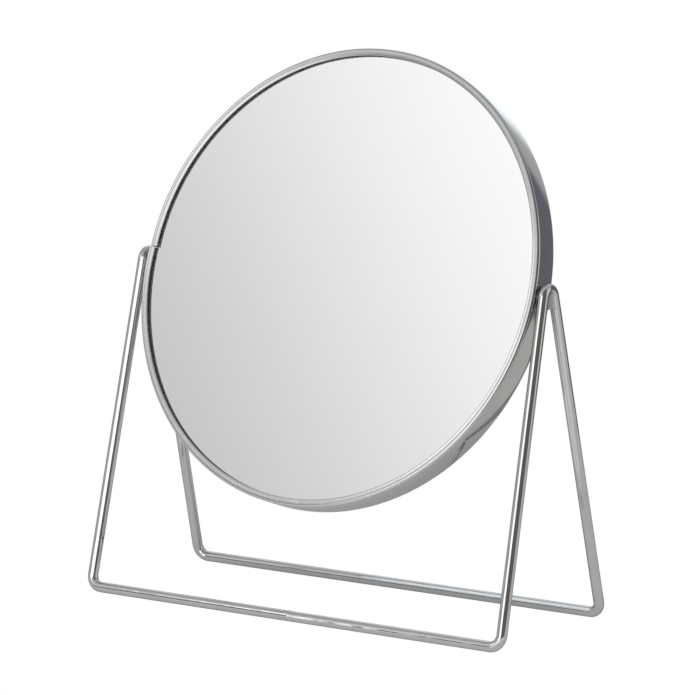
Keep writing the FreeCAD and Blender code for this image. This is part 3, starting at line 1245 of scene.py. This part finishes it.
@dataclass
class Studio:
    """Plain white room: floor, light by direction, and the camera."""

    floor_size: float = 12.0
    floor_glow: Colour = (0.645, 0.64, 0.62)
    floor_front_glow: Colour = (0.86, 0.86, 0.85)
    floor_front_start: float = -0.037
    floor_front_full: float = -0.056
    floor_shade: Colour = (0.47, 0.475, 0.475)
    shade_centre: Sequence[float] = (0.0, 0.065)
    shade_reach: Sequence[float] = (0.11, 0.06)
    shade_start: float = 1.25
    shade_full: float = 0.7
    floor_far: Colour = (0.19, 0.20, 0.22)
    far_azimuth: float = 158.0
    far_half_width: float = 30.0
    far_edge: float = 4.0
    far_start: float = 0.45
    far_full: float = 0.62
    room_light: Colour = (0.56, 0.57, 0.585)
    camera_azimuth: float = 34.48
    camera_elevation: float = 9.10
    camera_distance: float = 1.57635
    camera_target: Sequence[float] = (0.00168, 0.00115, 0.09883)
    lens: float = 217.06
    sensor: float = 36.0
    spill: Spill = Spill()
    panels: Sequence[Panel] = (
        Panel(66.0, 10.0, 30.0, 60.0, 8.0, (0.17, 0.157, 0.14)),  # dark wall on the right
        Panel(116.0, 5.0, 20.0, 28.0, 5.0, (0.93, 0.92, 0.90)),  # pale wall behind it
        Panel(156.0, 12.0, 16.0, 20.0, 4.0, (0.19, 0.20, 0.22)),  # dark gap at the back
        Panel(-148.0, 18.0, 22.0, 32.0, 7.0, (1.30, 1.36, 1.38)),  # cool window at the back left
        Panel(-42.0, 38.5, 20.0, 8.5, 3.0, (0.77, 0.785, 0.80)),  # dimmer band above the spill
        Panel(-51.5, 25.25, 6.5, 5.75, 1.5, (2.35, 2.38, 2.40)),  # small bright lamp on the left
        Panel(4.25, 12.0, 34.25, 15.5, 2.2, (1.86, 1.83, 1.79)),  # main soft box in front
        Panel(-37.1, 5.5, 7.6, 5.5, 1.8, (0.08, 0.08, 0.09)),  # dark slit beside it
    )
    flag: Flag = Flag()

    def make_floor(self) -> None:
        """Lays a white floor that gives the metal a soft warm glow from below."""
        bench = Bench("floor")
        bench.sheet(Vector(), self.floor_size, self.floor_size)
        floor = bench.settle()
        made = bpy.data.materials.new("white_floor")
        made.use_nodes = True
        graph = Graph(made.node_tree)
        white = graph.node("ShaderNodeEmission", None, {"Color": (1, 1, 1, 1)})
        tone = self.floor_tone(graph)
        glow = graph.node("ShaderNodeEmission", None, {"Color": tone})
        seen = graph.node("ShaderNodeLightPath").outputs["Is Camera Ray"]
        mixed = graph.node("ShaderNodeMixShader", None, {0: seen, 1: glow.outputs[0], 2: white.outputs[0]})
        graph.node("ShaderNodeOutputMaterial", None, {"Surface": mixed.outputs[0]})
        floor.data.materials.append(made)

    def floor_tone(self, graph: Graph) -> bpy.types.NodeSocket:
        """Light of the floor: brighter in front, shaded under the stand, dark far off behind.

        Args:
            graph: the floor material's graph.

        Returns:
            The colour's output.
        """
        across, depth, _ = graph.axes(graph.place())
        in_front = depth.smooth_step(self.floor_front_start, self.floor_front_full)
        tone = graph.blend(in_front, self.floor_glow, self.floor_front_glow)
        x = (across - self.shade_centre[0]) / self.shade_reach[0]
        y = (depth - self.shade_centre[1]) / self.shade_reach[1]
        under = ((x * x + y * y) ** 0.5).smooth_step(self.shade_start, self.shade_full)
        tone = graph.blend(under, tone, self.floor_shade)
        distance = (across * across + depth * depth) ** 0.5
        azimuth = across.math("ARCTAN2", depth * -1.0) * math.degrees(1)
        off = abs(azimuth - self.far_azimuth)
        off = off.math("MINIMUM", 360 - off)
        far_half, edge = self.far_half_width, self.far_edge
        behind = off.smooth_step(far_half + edge, far_half - edge)
        far = distance.smooth_step(self.far_start, self.far_full)
        return graph.blend(behind * far, tone, self.floor_far)

    def make_world(self) -> None:
        """Lights the room with soft panels on a dark ground, behind a white backdrop."""
        world = bpy.data.worlds.new("studio")
        bpy.context.scene.world = world
        world.use_nodes = True
        graph = Graph(world.node_tree)
        x, y, z = graph.axes(graph.node("ShaderNodeTexCoord").outputs["Generated"])
        azimuth = x.math("ARCTAN2", y * -1.0) * math.degrees(1)
        elevation = z.math("ARCSINE") * math.degrees(1)
        light = self.spill.over(self.room_light, azimuth, elevation)
        for panel in self.panels:
            light = panel.over(light, azimuth, elevation)
        seen = graph.node("ShaderNodeLightPath").outputs["Is Camera Ray"]
        shown = graph.blend(seen, light, (1.0, 1.0, 1.0))
        background = graph.node("ShaderNodeBackground", None, {"Color": shown})
        graph.node("ShaderNodeOutputWorld", None, {"Surface": background.outputs[0]})

    def make_flag(self) -> None:
        """Stands the dark board up; it shows only in the metal."""
        flag = self.flag
        width = flag.right - flag.left
        centre = Vector(((flag.left + flag.right) / 2, -flag.distance, flag.height / 2))
        bench = Bench("flag")
        bench.sheet(Vector(), width, flag.height)
        upright = Matrix.Translation(centre) @ Matrix.Rotation(math.pi / 2, 4, "X")
        board = bench.settle(upright)
        made = bpy.data.materials.new("flag_board")
        made.use_nodes = True
        graph = Graph(made.node_tree)
        x, _, _ = graph.axes(graph.place())
        share = x.smooth_step(flag.left, flag.left + flag.edge)
        clear = graph.node("ShaderNodeBsdfTransparent")
        dark = graph.node("ShaderNodeEmission", None, {"Color": opaque(flag.light)})
        mixed = graph.node(
            "ShaderNodeMixShader", None, {0: share, 1: clear.outputs[0], 2: dark.outputs[0]}
        )
        graph.node("ShaderNodeOutputMaterial", None, {"Surface": mixed.outputs[0]})
        board.data.materials.append(made)
        board.visible_camera = False

    def make_camera(self) -> None:
        """Sets the camera up on its azimuth and elevation about the target."""
        azimuth = math.radians(self.camera_azimuth)
        elevation = math.radians(self.camera_elevation)
        back = Vector((
            math.sin(azimuth) * math.cos(elevation), -math.cos(azimuth) * math.cos(elevation),
            math.sin(elevation),
        ))
        data = bpy.data.cameras.new("camera")
        data.lens = self.lens
        data.sensor_width = self.sensor
        camera = bpy.data.objects.new("camera", data)
        bpy.context.scene.collection.objects.link(camera)
        camera.location = Vector(self.camera_target) + back * self.camera_distance
        camera.rotation_euler = (-back).to_track_quat("-Z", "Y").to_euler()
        bpy.context.scene.camera = camera

    def build(self) -> None:
        """Makes the room and the camera."""
        self.make_floor()
        self.make_flag()
        self.make_world()
        self.make_camera()
        bpy.context.scene.view_settings.view_transform = "Standard"
        log.info("studio ready")


def main() -> None:
    """Builds every sub-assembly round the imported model."""
    logging.basicConfig(level=logging.INFO, format="%(message)s")
    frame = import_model()
    layout = Layout.read(frame)
    Studio().build()
    WireStand(layout).build()
    MirrorHead(layout).build()
    for side in Side:
        PivotSet(layout, side).build()
    InnerParts(frame).build()


if __name__ == "__main__":
    main()
